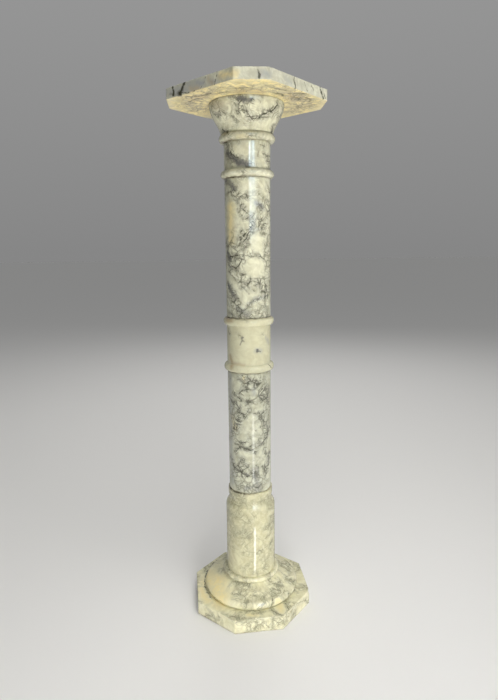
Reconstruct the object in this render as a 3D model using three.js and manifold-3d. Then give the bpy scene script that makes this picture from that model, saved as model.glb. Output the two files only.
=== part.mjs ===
// A pedestal column of alabaster, in millimetres with +Z up and the floor at z = 0.
// Eight stones stand on one vertical axis: an octagonal base block with a turned bell, a wide drum,
// two plain shafts with a ringed knop between them, a ringed neck, a flared capital and a square
// top slab with clipped corners. The plinth's flat front faces -Y.
import * as THREE from "three";
import { mergeVertices } from "three/addons/utils/BufferGeometryUtils.js";
import Module from "manifold-3d";

// Driving dimensions: the whole column
const FACETS = 40; // flat sides around a turned stone
const MOULDING_STEPS = 5; // straight steps in a quarter of a round moulding
const ARRIS = 0.8; // worn edge where two stones meet
const SHAFT_RADIUS = 44.5;

// Base block: plinth and bell
const PLINTH_WIDTH = 242; // across the flats of the octagon
const PLINTH_HEIGHT = 31;
const BELL_HEIGHT = 46;
const BELL_ROOT = 5; // how far the bell's solid runs down into the plinth
const RIM_RADIUS = 101.5;
const RIM_BULGE = 11.5;
const RIM_HALF_HEIGHT = 10;
const RIM_CENTRE = 9; // height of the rim's widest line over the plinth
const RIM_END_ANGLE = 70; // degrees up the rim where the flare takes over
const FLARE_BEND_RADIUS = 68;
const BELL_BEAD_RADIUS = 61;
const BELL_BEAD_BULGE = 5;
const BELL_BEAD_HEIGHT = 11;

// Wide drum with its shoulder and collar
const DRUM_HEIGHT = 188;
const DRUM_FOOT_RADIUS = 53.2;
const DRUM_TOP_RADIUS = 52.6;
const SHOULDER_START = 145;
const SHOULDER_FULL = 157; // the shoulder leaves the drum towards this height
const SHOULDER_THIN = 158.5; // and comes in to the collar from this one
const SHOULDER_THIN_RADIUS = 46.6;
const COLLAR_RADIUS = 47.1;
const COLLAR_BULGE = 3.5;
const COLLAR_CENTRE = 180; // height of the collar's widest line
const COLLAR_HALF_HEIGHT = 16;
const COLLAR_START_ANGLE = -51; // degrees around the collar's bulge, from its widest line
const COLLAR_END_ANGLE = 26;

// Shafts, knop and neck
const LOWER_SHAFT_HEIGHT = 256.5;
const UPPER_SHAFT_HEIGHT = 265.5;
const KNOP_HEIGHT = 109.5;
const KNOP_RING_HEIGHT = 16;
const KNOP_RING_RADIUS = 50.9;
const NECK_HEIGHT = 64.5;
const NECK_RING_HEIGHT = 15;
const NECK_RING_RADIUS = 51.4;

// Capital
const CAPITAL_HEIGHT = 69;
const CAPITAL_RING_RADIUS = 53.6;
const CAPITAL_RING_BULGE = 6.1;
const CAPITAL_RING_HEIGHT = 15;
const CAPITAL_RING_END_ANGLE = 71;
const CAPITAL_TOP_RADIUS = 71.2;
const FLARE_BEND = { radius: 52.5, height: 31.5 }; // the flare leaves the ring towards this point
const FLARE_UPRIGHT = 49; // and stands upright at its top, bent from this height

// Top slab
const TOP_WIDTH = 250;
const TOP_CORNER_CUT = 42; // leg of each clipped corner
const TOP_THICKNESS = 20;
const TOP_TURN = 41; // degrees the slab is turned against the plinth
const SLAB_ARRIS = 1.2;

const wasm = await Module();
wasm.setup();

// Solids by manifold: only positions count, and shared vertices are merged first.
function toManifold(geometry) {
  const bare = new THREE.BufferGeometry();
  bare.setAttribute("position", geometry.getAttribute("position").clone());
  bare.setIndex(geometry.index);
  const merged = mergeVertices(bare, 1e-3);
  return new wasm.Manifold(
    new wasm.Mesh({
      numProp: 3,
      vertProperties: merged.getAttribute("position").array,
      triVerts: new Uint32Array(merged.index.array),
    }),
  );
}

function joined(first, second) {
  const mesh = toManifold(first).add(toManifold(second)).getMesh();
  const geometry = new THREE.BufferGeometry();
  geometry.setAttribute("position", new THREE.BufferAttribute(mesh.vertProperties, 3));
  geometry.setIndex(new THREE.BufferAttribute(mesh.triVerts, 1));
  geometry.computeVertexNormals();
  return geometry;
}

// Turned shapes: a profile is a path of (radius, height) that starts and ends on the axis.
function turned(profile) {
  const points = profile.getPoints(MOULDING_STEPS);
  const geometry = new THREE.LatheGeometry(points, FACETS);
  geometry.rotateX(Math.PI / 2);
  return geometry;
}

function startAtAxis(radius) {
  const profile = new THREE.Path();
  profile.moveTo(0, 0);
  profile.lineTo(radius - ARRIS, 0);
  profile.lineTo(radius, ARRIS);
  return profile;
}

function endAtAxis(profile, radius, height) {
  profile.lineTo(radius, height - ARRIS);
  profile.lineTo(radius - ARRIS, height);
  profile.lineTo(0, height);
  return profile;
}

// A convex moulding that stands out by bulge from the line r = inner, between two angles in degrees.
function addRound(profile, inner, centre, bulge, halfHeight, from = -90, to = 90) {
  const start = THREE.MathUtils.degToRad(from);
  const end = THREE.MathUtils.degToRad(to);
  profile.absellipse(inner, centre, bulge, halfHeight, start, end, false);
}

// A full ring moulding of the given height whose lower edge is at foot.
function addRing(profile, inner, outer, foot, height) {
  addRound(profile, inner, foot + height / 2, outer - inner, height / 2);
}

// Flat shapes: a square with clipped corners, sawn to a thickness with softened edges.
function clippedSquare(width, cut) {
  const half = width / 2;
  const inset = half - cut;
  const centre = new THREE.Vector2();
  const corners = [];
  for (let quarter = 0; quarter < 4; quarter++) {
    for (const along of [-inset, inset]) {
      const corner = new THREE.Vector2(along, -half);
      corners.push(corner.rotateAround(centre, (quarter * Math.PI) / 2));
    }
  }
  return new THREE.Shape(corners);
}

function slab(shape, thickness) {
  const geometry = new THREE.ExtrudeGeometry(shape, {
    depth: thickness - 2 * SLAB_ARRIS,
    bevelEnabled: true,
    bevelThickness: SLAB_ARRIS,
    bevelSize: SLAB_ARRIS,
    bevelOffset: -SLAB_ARRIS,
    bevelSegments: 1,
  });
  geometry.translate(0, 0, SLAB_ARRIS);
  return geometry;
}

// The stones, each with its own foot at z = 0
function baseGeometry() {
  const octagonCut = (PLINTH_WIDTH / 2) * (1 - Math.tan(Math.PI / 8));
  const plinth = slab(clippedSquare(PLINTH_WIDTH, octagonCut), PLINTH_HEIGHT);

  const top = PLINTH_HEIGHT + BELL_HEIGHT;
  const rimInner = RIM_RADIUS - RIM_BULGE;
  const rimCentre = PLINTH_HEIGHT + RIM_CENTRE;
  const beadInner = BELL_BEAD_RADIUS - BELL_BEAD_BULGE;
  const beadFoot = top - BELL_BEAD_HEIGHT;
  const bell = new THREE.Path();
  bell.moveTo(0, PLINTH_HEIGHT - BELL_ROOT);
  bell.lineTo(rimInner, PLINTH_HEIGHT - BELL_ROOT);
  addRound(bell, rimInner, rimCentre, RIM_BULGE, RIM_HALF_HEIGHT, -90, RIM_END_ANGLE);
  // The flare leaves the rim along the rim's own tangent.
  const rimEnd = bell.currentPoint.clone();
  const endAngle = THREE.MathUtils.degToRad(RIM_END_ANGLE);
  const rimSlope = (RIM_HALF_HEIGHT * Math.cos(endAngle)) / (RIM_BULGE * Math.sin(endAngle));
  const bendHeight = rimEnd.y + (rimEnd.x - FLARE_BEND_RADIUS) * rimSlope;
  bell.quadraticCurveTo(FLARE_BEND_RADIUS, bendHeight, beadInner, beadFoot);
  addRing(bell, beadInner, BELL_BEAD_RADIUS, beadFoot, BELL_BEAD_HEIGHT);
  bell.lineTo(0, top);
  return joined(plinth, turned(bell));
}

function baseDrumGeometry() {
  const profile = startAtAxis(DRUM_FOOT_RADIUS);
  profile.lineTo(DRUM_TOP_RADIUS, SHOULDER_START);
  const collarInner = COLLAR_RADIUS - COLLAR_BULGE;
  const startAngle = THREE.MathUtils.degToRad(COLLAR_START_ANGLE);
  profile.bezierCurveTo(
    DRUM_TOP_RADIUS,
    SHOULDER_FULL,
    SHOULDER_THIN_RADIUS,
    SHOULDER_THIN,
    collarInner + COLLAR_BULGE * Math.cos(startAngle),
    COLLAR_CENTRE + COLLAR_HALF_HEIGHT * Math.sin(startAngle),
  );
  addRound(
    profile,
    collarInner,
    COLLAR_CENTRE,
    COLLAR_BULGE,
    COLLAR_HALF_HEIGHT,
    COLLAR_START_ANGLE,
    COLLAR_END_ANGLE,
  );
  profile.lineTo(profile.currentPoint.x - ARRIS, DRUM_HEIGHT);
  profile.lineTo(0, DRUM_HEIGHT);
  return turned(profile);
}

function shaftGeometry(height) {
  return turned(endAtAxis(startAtAxis(SHAFT_RADIUS), SHAFT_RADIUS, height));
}

function knopGeometry() {
  const profile = new THREE.Path();
  profile.moveTo(0, 0);
  profile.lineTo(SHAFT_RADIUS, 0);
  addRing(profile, SHAFT_RADIUS, KNOP_RING_RADIUS, 0, KNOP_RING_HEIGHT);
  const upperRing = KNOP_HEIGHT - KNOP_RING_HEIGHT;
  profile.lineTo(SHAFT_RADIUS, upperRing);
  addRing(profile, SHAFT_RADIUS, KNOP_RING_RADIUS, upperRing, KNOP_RING_HEIGHT);
  profile.lineTo(0, KNOP_HEIGHT);
  return turned(profile);
}

function neckGeometry() {
  const profile = new THREE.Path();
  profile.moveTo(0, 0);
  profile.lineTo(SHAFT_RADIUS, 0);
  addRing(profile, SHAFT_RADIUS, NECK_RING_RADIUS, 0, NECK_RING_HEIGHT);
  return turned(endAtAxis(profile, SHAFT_RADIUS, NECK_HEIGHT));
}

function capitalGeometry() {
  const ringInner = CAPITAL_RING_RADIUS - CAPITAL_RING_BULGE;
  const ringHalf = CAPITAL_RING_HEIGHT / 2;
  const profile = new THREE.Path();
  profile.moveTo(0, 0);
  profile.lineTo(ringInner, 0);
  addRound(profile, ringInner, ringHalf, CAPITAL_RING_BULGE, ringHalf, -90, CAPITAL_RING_END_ANGLE);
  // A bell-shaped flare, steep over the ring, spreading in the middle and upright at the top
  profile.bezierCurveTo(
    FLARE_BEND.radius,
    FLARE_BEND.height,
    CAPITAL_TOP_RADIUS,
    FLARE_UPRIGHT,
    CAPITAL_TOP_RADIUS,
    CAPITAL_HEIGHT - ARRIS,
  );
  profile.lineTo(CAPITAL_TOP_RADIUS - ARRIS, CAPITAL_HEIGHT);
  profile.lineTo(0, CAPITAL_HEIGHT);
  return turned(profile);
}

function topSlabGeometry() {
  return slab(clippedSquare(TOP_WIDTH, TOP_CORNER_CUT), TOP_THICKNESS);
}

// Stone colours: the shafts and the base are veined, the knop and the drum are cleaner.
const GREY_CREAM = 0xc3bda0;
const IVORY = 0xd6cda6;
const PALE_CREAM = 0xd2cba4;
const SLAB_GREY = 0xc9c6b2;

function polishedStone(colour) {
  return new THREE.MeshStandardMaterial({ color: colour, roughness: 0.28, metalness: 0 });
}

// The stack: each stone stands on the one before it.
const column = new THREE.Group();
let bed = 0;
function stand(name, geometry, height, colour, turn = 0) {
  const stone = new THREE.Mesh(geometry, polishedStone(colour));
  stone.name = name;
  stone.position.z = bed;
  stone.rotation.z = THREE.MathUtils.degToRad(turn);
  column.add(stone);
  bed += height;
}

stand("base", baseGeometry(), PLINTH_HEIGHT + BELL_HEIGHT, PALE_CREAM);
stand("base_drum", baseDrumGeometry(), DRUM_HEIGHT, PALE_CREAM);
stand("lower_shaft", shaftGeometry(LOWER_SHAFT_HEIGHT), LOWER_SHAFT_HEIGHT, GREY_CREAM);
stand("knop", knopGeometry(), KNOP_HEIGHT, IVORY);
stand("upper_shaft", shaftGeometry(UPPER_SHAFT_HEIGHT), UPPER_SHAFT_HEIGHT, GREY_CREAM);
stand("neck", neckGeometry(), NECK_HEIGHT, GREY_CREAM);
stand("capital", capitalGeometry(), CAPITAL_HEIGHT, SLAB_GREY);
stand("top_slab", topSlabGeometry(), TOP_THICKNESS, SLAB_GREY, TOP_TURN);

export default column;
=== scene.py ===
# A pedestal column of alabaster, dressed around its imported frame. Sizes are in metres.
# Angles are in degrees, from the plinth's front (-Y) towards the right (+X).
import math
from collections import namedtuple

import bpy
import numpy as np
from mathutils import Matrix, Vector, noise


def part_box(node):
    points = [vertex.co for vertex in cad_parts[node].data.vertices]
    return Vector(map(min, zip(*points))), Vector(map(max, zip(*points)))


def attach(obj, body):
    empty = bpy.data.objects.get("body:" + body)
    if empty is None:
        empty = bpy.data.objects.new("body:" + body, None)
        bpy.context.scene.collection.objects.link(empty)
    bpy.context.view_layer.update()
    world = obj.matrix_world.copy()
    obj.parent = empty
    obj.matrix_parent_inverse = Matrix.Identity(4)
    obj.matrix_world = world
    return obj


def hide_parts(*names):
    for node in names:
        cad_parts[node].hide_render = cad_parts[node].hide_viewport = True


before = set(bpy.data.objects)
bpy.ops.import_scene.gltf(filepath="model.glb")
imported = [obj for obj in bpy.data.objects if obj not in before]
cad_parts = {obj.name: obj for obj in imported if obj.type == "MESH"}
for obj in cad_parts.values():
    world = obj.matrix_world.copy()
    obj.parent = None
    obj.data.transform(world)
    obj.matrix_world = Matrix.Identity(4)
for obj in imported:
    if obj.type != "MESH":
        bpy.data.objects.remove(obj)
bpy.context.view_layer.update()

# Fineness of the meshes
GRID = 0.0015            # distance between neighbouring rows and columns on a stone's face
FLAT_GRID = 0.0025       # the same on the slab's wide faces
HIDDEN_GRID = 0.012      # the same on beds that no view shows
FEWEST_STEPS = 4         # steps along the shortest curve
CORNER_COLUMNS = (-0.8, -0.4, 0, 0.4, 0.8)    # degrees from a slab's corner
CORNER_GAP = 0.3         # degrees that the even columns keep from those
TINY = 1e-6
MM = 0.001

# Sizes of the stones, as in the part's source
SHAFT_RADIUS = 0.0445
ARRIS = 0.0008
PLINTH_WIDTH = 0.242
PLINTH_HEIGHT = 0.031
SLAB_ARRIS = 0.0012
RIM_RADIUS = 0.1015
RIM_BULGE = 0.0115
RIM_HALF_HEIGHT = 0.010
RIM_CENTRE = 0.009
RIM_END_ANGLE = 70
FLARE_BEND_RADIUS = 0.068
BELL_BEAD_RADIUS = 0.061
BELL_BEAD_BULGE = 0.005
BELL_BEAD_HEIGHT = 0.011
DRUM_FOOT_RADIUS = 0.0532
DRUM_TOP_RADIUS = 0.0526
SHOULDER_START = 0.145
SHOULDER_FULL = 0.157
SHOULDER_THIN = 0.1585
SHOULDER_THIN_RADIUS = 0.0466
COLLAR_RADIUS = 0.0471
COLLAR_BULGE = 0.0035
COLLAR_CENTRE = 0.180
COLLAR_HALF_HEIGHT = 0.016
COLLAR_START_ANGLE = -51
COLLAR_END_ANGLE = 26
KNOP_RING_HEIGHT = 0.016
KNOP_RING_RADIUS = 0.0509
NECK_RING_HEIGHT = 0.015
NECK_RING_RADIUS = 0.0514
CAPITAL_RING_RADIUS = 0.0536
CAPITAL_RING_BULGE = 0.0061
CAPITAL_RING_HEIGHT = 0.015
CAPITAL_RING_END_ANGLE = 71
CAPITAL_TOP_RADIUS = 0.0712
FLARE_BEND = (0.0525, 0.0315)
FLARE_UPRIGHT = 0.049
TOP_WIDTH = 0.250
TOP_CORNER_CUT = 0.042
TOP_TURN = 41

# Wear of the edges
EDGE_REACH = 0.003       # how far from an edge or a hollow its wear or its painted shade spreads
EDGE_START = 0.7         # turn in radians at which an edge starts to wear
EDGE_FADE = 0.6          # further turn at which it wears fully
SLAB_CORNER = 0.0004     # softness of a slab's upright corners
CHIP_DEPTH = 0.0009
CHIP_SIZE = 0.006
CHIP_START = 0.25        # noise at which a small chip starts
CHIP_FADE = 0.5          # further noise at which it is full
CHIPS = {"base": [((68, 29, 130), 0.007, 0.0035)]}    # larger ones: spot as for a mark, width, depth

# Painted shade in the hollows, and dirt and painted shade at the joints
DIRT_PATCH_SIZE = 0.030
DIRT_DOT_SIZE = 0.007
HOLLOW_START = 0.5       # turn in radians at which a hollow starts to be darkened with painted shade
# strength of the painted shade in the hollows
HOLLOW_SHADE = 0.4
JOINT_REACH = 0.0034     # how far the dirt and painted shade of a joint reach up or down the face
JOINT_DIRT_AND_SHADE = 0.60        # mean strength of the dirt and painted shade at a joint, and how much the patches and dots change it
JOINT_PATCHES = 0.5
JOINT_DOTS = 0.6
JOINT_FRONT = 0.8        # share of it at the front
JOINT_LEFT_SHADE = 0.4         # how much more painted shade there is on the left, where shade falls, and less on the right
JOINT_SHARES = {"base": (1, 0.1), "base_drum": (0.1, 1)}    # share at the foot and top, if not full

# The photograph's camera
CAMERA_TURN = -7.28
CAMERA_DISTANCE = 1.036
CAMERA_HEIGHT = 0.7627
CAMERA_PITCH = 11.02
CAMERA_ROLL = -0.57
CAMERA_LENS = 26.42
SENSOR_WIDTH = 36.0


# Outlines: arrays of (radius, height)
def straight(start, end, step=GRID):
    count = max(1, round(math.dist(start, end) / step))
    return np.linspace(start, end, count + 1)


def arc(centre, radii, first, last):
    length = math.radians(abs(last - first)) * sum(radii) / 2
    count = max(FEWEST_STEPS, round(length / GRID))
    turn = np.radians(np.linspace(first, last, count + 1))
    return np.column_stack([centre[0] + radii[0] * np.cos(turn), centre[1] + radii[1] * np.sin(turn)])


def bezier(*controls):
    count = max(FEWEST_STEPS, round(math.dist(controls[0], controls[-1]) / GRID))
    share = np.linspace(0, 1, count + 1)[:, None]
    points = [np.repeat([control], count + 1, axis=0) for control in np.array(controls)]
    while len(points) > 1:
        points = [a + (b - a) * share for a, b in zip(points, points[1:])]
    return points[0]


def outline(*stretches):
    """Joins stretches end to end, without doubled points."""
    points = np.vstack(stretches)
    steps = np.linalg.norm(np.diff(points, axis=0), axis=1)
    return points[np.append(True, steps > TINY)]


def lower_edge(radius, height=0.0):
    """A bed from the axis out to a softened edge."""
    return outline(
        straight((0, height), (radius - ARRIS, height), HIDDEN_GRID),
        arc((radius - ARRIS, height + ARRIS), (ARRIS, ARRIS), -90, 0),
    )


def upper_edge(radius, height):
    return lower_edge(radius)[::-1] * (1, -1) + (0, height)


def ring(inner, outer, foot, height):
    """A half-round moulding."""
    half = height / 2
    return arc((inner, foot + half), (outer - inner, half), -90, 90)


# The stones' outlines, each with its foot at height 0
def bell_outline(height):
    """From the rim's foot on the plinth up to the bed of the drum."""
    rim_inner = RIM_RADIUS - RIM_BULGE
    rim_centre = (rim_inner, PLINTH_HEIGHT + RIM_CENTRE)
    foot_angle = -math.degrees(math.asin(RIM_CENTRE / RIM_HALF_HEIGHT))
    rim = arc(rim_centre, (RIM_BULGE, RIM_HALF_HEIGHT), foot_angle, RIM_END_ANGLE)
    end_angle = math.radians(RIM_END_ANGLE)
    rim_slope = RIM_HALF_HEIGHT * math.cos(end_angle) / (RIM_BULGE * math.sin(end_angle))
    bend = (FLARE_BEND_RADIUS, rim[-1][1] + (rim[-1][0] - FLARE_BEND_RADIUS) * rim_slope)
    bead_inner = BELL_BEAD_RADIUS - BELL_BEAD_BULGE
    bead_foot = height - BELL_BEAD_HEIGHT
    return outline(
        rim,
        bezier(rim[-1], bend, (bead_inner, bead_foot)),
        ring(bead_inner, BELL_BEAD_RADIUS, bead_foot, BELL_BEAD_HEIGHT),
        straight((bead_inner, height), (0, height), HIDDEN_GRID),
    )


def drum_outline(height):
    inner = COLLAR_RADIUS - COLLAR_BULGE
    collar = arc(
        (inner, COLLAR_CENTRE),
        (COLLAR_BULGE, COLLAR_HALF_HEIGHT),
        COLLAR_START_ANGLE,
        COLLAR_END_ANGLE,
    )
    brim = collar[-1][0]
    return outline(
        lower_edge(DRUM_FOOT_RADIUS),
        straight((DRUM_FOOT_RADIUS, ARRIS), (DRUM_TOP_RADIUS, SHOULDER_START)),
        bezier(
            (DRUM_TOP_RADIUS, SHOULDER_START),
            (DRUM_TOP_RADIUS, SHOULDER_FULL),
            (SHOULDER_THIN_RADIUS, SHOULDER_THIN),
            collar[0],
        ),
        collar,
        bezier(collar[-1], (brim, height), (brim - ARRIS, height)),
        straight((brim - ARRIS, height), (0, height), HIDDEN_GRID),
    )


def shaft_outline(height):
    return outline(
        lower_edge(SHAFT_RADIUS),
        straight((SHAFT_RADIUS, ARRIS), (SHAFT_RADIUS, height - ARRIS)),
        upper_edge(SHAFT_RADIUS, height),
    )


def knop_outline(height):
    upper_ring = height - KNOP_RING_HEIGHT
    return outline(
        straight((0, 0), (SHAFT_RADIUS, 0), HIDDEN_GRID),
        ring(SHAFT_RADIUS, KNOP_RING_RADIUS, 0, KNOP_RING_HEIGHT),
        straight((SHAFT_RADIUS, KNOP_RING_HEIGHT), (SHAFT_RADIUS, upper_ring)),
        ring(SHAFT_RADIUS, KNOP_RING_RADIUS, upper_ring, KNOP_RING_HEIGHT),
        straight((SHAFT_RADIUS, height), (0, height), HIDDEN_GRID),
    )


def neck_outline(height):
    return outline(
        straight((0, 0), (SHAFT_RADIUS, 0), HIDDEN_GRID),
        ring(SHAFT_RADIUS, NECK_RING_RADIUS, 0, NECK_RING_HEIGHT),
        straight((SHAFT_RADIUS, NECK_RING_HEIGHT), (SHAFT_RADIUS, height - ARRIS)),
        upper_edge(SHAFT_RADIUS, height),
    )


def capital_outline(height):
    ring_inner = CAPITAL_RING_RADIUS - CAPITAL_RING_BULGE
    ring_half = CAPITAL_RING_HEIGHT / 2
    bulge = arc(
        (ring_inner, ring_half), (CAPITAL_RING_BULGE, ring_half), -90, CAPITAL_RING_END_ANGLE
    )
    upright = (CAPITAL_TOP_RADIUS, FLARE_UPRIGHT)
    brim = (CAPITAL_TOP_RADIUS, height - ARRIS)
    return outline(
        straight((0, 0), (ring_inner, 0), HIDDEN_GRID),
        bulge,
        bezier(bulge[-1], FLARE_BEND, upright, brim),
        upper_edge(CAPITAL_TOP_RADIUS, height),
    )


# Sawn slabs
class ClippedSquare:
    """A square with clipped corners, turned about the axis."""

    def __init__(self, width, cut, turn=0):
        self.turn = turn
        self.reach = [width / 2, (width - cut) / math.sqrt(2)]
        corner = math.degrees(math.atan2(width / 2 - cut, width / 2))
        self.corners = [turn + quarter * 90 + side * corner for quarter in range(4) for side in (-1, 1)]

    def columns(self, step):
        """Angles around the slab: even ones, and close ones at each corner."""
        count = round(2 * math.pi * self.reach[0] / step)
        even = np.arange(count) * 360 / count
        close = np.array(CORNER_COLUMNS)
        near = np.concatenate([corner + close for corner in self.corners]) % 360
        gap = np.abs((even[:, None] - near[None, :] + 180) % 360 - 180).min(axis=1)
        return np.sort(np.concatenate([even[gap > CORNER_GAP], near]))

    def radius(self, angles, inset):
        """Distance to the edge drawn in by inset, with slightly rounded corners."""
        least_facing = 0.05
        total = 0
        for side in range(8):
            facing = np.cos(np.radians(angles - self.turn - side * 45))
            distance = (self.reach[side % 2] - inset) / np.maximum(facing, least_facing)
            total = total + np.exp(-(distance - self.reach[0]) / SLAB_CORNER)
        return self.reach[0] - SLAB_CORNER * np.log(total)


def slab_outline(thickness):
    """Rows of a slab as (inset from the edge, height)."""
    arris = SLAB_ARRIS
    return outline(
        arc((arris, arris), (arris, arris), 270, 180),
        straight((0, arris), (0, thickness - arris)),
        arc((arris, thickness - arris), (arris, arris), 180, 90),
    )


# Stones as meshes
class Stone:
    """A closed skin of rows and columns around the axis, which runs from pole to pole."""

    def __init__(self, name, radii, heights, angles):
        bottom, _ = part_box(name)
        self.name = name
        self.bed = bottom.z
        self.angles = angles
        self.radii = radii
        self.heights = heights

    def points(self):
        turn = np.radians(self.angles)
        x = self.radii * np.sin(turn)
        y = -self.radii * np.cos(turn)
        z = np.repeat(self.heights[:, None] + self.bed, len(turn), axis=1)
        return np.stack([x, y, z], axis=-1)

    def place(self, angle, height, radius=None):
        """The spot at an angle and a height on the face, or at a radius on a flat bed.

        The height and the radius are in millimetres.
        """
        level = height * MM
        if radius is None:
            column = np.abs((self.angles - angle + 180) % 360 - 180).argmin()
            crossed = (self.heights[:-1] <= level) & (level < self.heights[1:])
            row = np.flatnonzero(crossed)[-1]
            share = (level - self.heights[row]) / (self.heights[row + 1] - self.heights[row])
            inner, outer = self.radii[row:row + 2, column]
            reach = inner + (outer - inner) * share
        else:
            reach = radius * MM
        turn = math.radians(angle)
        return np.array([reach * math.sin(turn), -reach * math.cos(turn), self.bed + level])


def turned(name, profile_of):
    low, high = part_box(name)
    profile = profile_of(high.z - low.z)
    widest = profile[:, 0].max()
    columns = round(2 * math.pi * widest / GRID)
    angles = np.arange(columns) * 360 / columns
    radii = np.repeat(profile[:, :1], columns, axis=1)
    return Stone(name, radii, profile[:, 1], angles)


def top_slab(name):
    low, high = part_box(name)
    edge = slab_outline(high.z - low.z)
    shape = ClippedSquare(TOP_WIDTH, TOP_CORNER_CUT, TOP_TURN)
    angles = shape.columns(GRID)
    side = np.array([shape.radius(angles, inset) for inset in edge[:, 0]])
    shares = np.linspace(0, 1, round(TOP_WIDTH / 2 / FLAT_GRID))[:-1, None]
    under = side[0] * shares
    over = side[-1] * shares[::-1]
    heights = np.concatenate([np.zeros(len(under)), edge[:, 1], np.full(len(over), high.z - low.z)])
    return Stone(name, np.vstack([under, side, over]), heights, angles)


def base(name):
    low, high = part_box(name)
    edge = slab_outline(PLINTH_HEIGHT)
    octagon_cut = PLINTH_WIDTH / 2 * (1 - math.tan(math.pi / 8))
    shape = ClippedSquare(PLINTH_WIDTH, octagon_cut)
    angles = shape.columns(GRID)
    side = np.array([shape.radius(angles, inset) for inset in edge[:, 0]])
    bell = bell_outline(high.z - low.z)
    under_shares = np.linspace(0, 1, round(PLINTH_WIDTH / 2 / HIDDEN_GRID))[:-1, None]
    ledge = PLINTH_WIDTH / 2 - bell[0, 0]
    ledge_shares = np.linspace(0, 1, round(ledge / GRID))[1:-1, None]
    under = side[0] * under_shares
    top = side[-1] + (bell[0, 0] - side[-1]) * ledge_shares
    round_rows = np.repeat(bell[:, :1], len(angles), axis=1)
    heights = np.concatenate(
        [np.zeros(len(under)), edge[:, 1], np.full(len(top), PLINTH_HEIGHT), bell[:, 1]]
    )
    return Stone(name, np.vstack([under, side, top, round_rows]), heights, angles)


def skin(stone, points):
    """The stone's mesh: quads between rows, and a fan at each pole."""
    rows, columns = points.shape[:2]
    body = points[1:-1].reshape(-1, 3)
    vertices = np.vstack([points[0, :1], body, points[-1, :1]])
    here = np.arange(columns)
    beside = np.roll(here, -1)
    last = len(vertices) - 1
    faces = [(0, 1 + b, 1 + a) for a, b in zip(here, beside)]
    for row in range(rows - 3):
        low = 1 + row * columns
        high = low + columns
        quads = np.column_stack([low + here, low + beside, high + beside, high + here])
        faces.extend(map(tuple, quads.tolist()))
    top = 1 + (rows - 3) * columns
    faces.extend((top + a, top + b, last) for a, b in zip(here, beside))
    mesh = bpy.data.meshes.new(stone.name)
    mesh.from_pydata(vertices.tolist(), [], faces)
    mesh.shade_smooth()
    return mesh


def sharpness(points):
    """How sharply the skin turns across each row: above 0 at edges, below 0 in hollows."""
    radial = np.linalg.norm(points[..., :2], axis=-1)
    height = points[..., 2]
    step = np.stack([np.diff(radial, axis=0), np.diff(height, axis=0)], axis=-1)
    heading = np.unwrap(np.arctan2(step[..., 1], step[..., 0]), axis=0)
    turn = np.zeros(radial.shape)
    turn[1:-1] = np.diff(heading, axis=0)
    along = np.concatenate([[0], np.cumsum(np.linalg.norm(step, axis=-1).mean(axis=1))])
    near = np.maximum(0, 1 - np.abs(along[:, None] - along[None, :]) / EDGE_REACH)
    return near @ turn


NOISE_SHIFT = 17.3       # how far the noise of one seed lies from the next


def noise_at(points, size, seed):
    """Smooth noise between about -1 and 1, with features of the given size."""
    shifted = points.reshape(-1, 3) / size + seed * NOISE_SHIFT
    values = [noise.noise(Vector(point)) for point in shifted]
    return np.array(values).reshape(points.shape[:-1])


def worn(stone, points, seed):
    """Takes small chips off the edges, and the larger ones in CHIPS."""
    edge = np.clip((sharpness(points) - EDGE_START) / EDGE_FADE, 0, 1)
    flat = points.reshape(-1, 3)
    depth = np.zeros(len(flat))
    on_edge = np.flatnonzero(edge.ravel() > 0)
    chips = noise_at(flat[on_edge], CHIP_SIZE, seed)
    small = np.clip(chips - CHIP_START, 0, CHIP_FADE) / CHIP_FADE
    depth[on_edge] = small * edge.ravel()[on_edge] * CHIP_DEPTH
    for spot, width, loss in CHIPS.get(stone.name, ()):
        away = np.linalg.norm(flat - stone.place(*spot), axis=1)
        depth = np.maximum(depth, np.clip(1 - away / width, 0, 1) * loss)
    centre = np.array([0, 0, (points[..., 2].min() + points[..., 2].max()) / 2])
    inward = centre - flat
    inward[:, :2] /= np.maximum(np.linalg.norm(inward[:, :2], axis=1, keepdims=True), TINY)
    inward[:, 2] = np.sign(inward[:, 2])
    return (flat + inward * depth[:, None]).reshape(points.shape)


# Marks on the stones: a path on the face as (angle, height) or, on a flat bed, (angle, height, radius).
# Heights, radii and widths are in millimetres, and heights start at the stone's own bed.
Mark = namedtuple("Mark", "kind width strength path")


def vein(width, strength, *path):
    """A dark vein in a belt of finer veins."""
    return Mark("vein", width, strength, path)


def crack(width, strength, *path):
    """A dark vein alone in clean stone."""
    return Mark("crack", width, strength, path)


def haze(kind, width, strength, *path):
    """A soft patch: densely veined, dark, cool, warm, rusty or pale."""
    return Mark(kind, width, strength, path)


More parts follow.
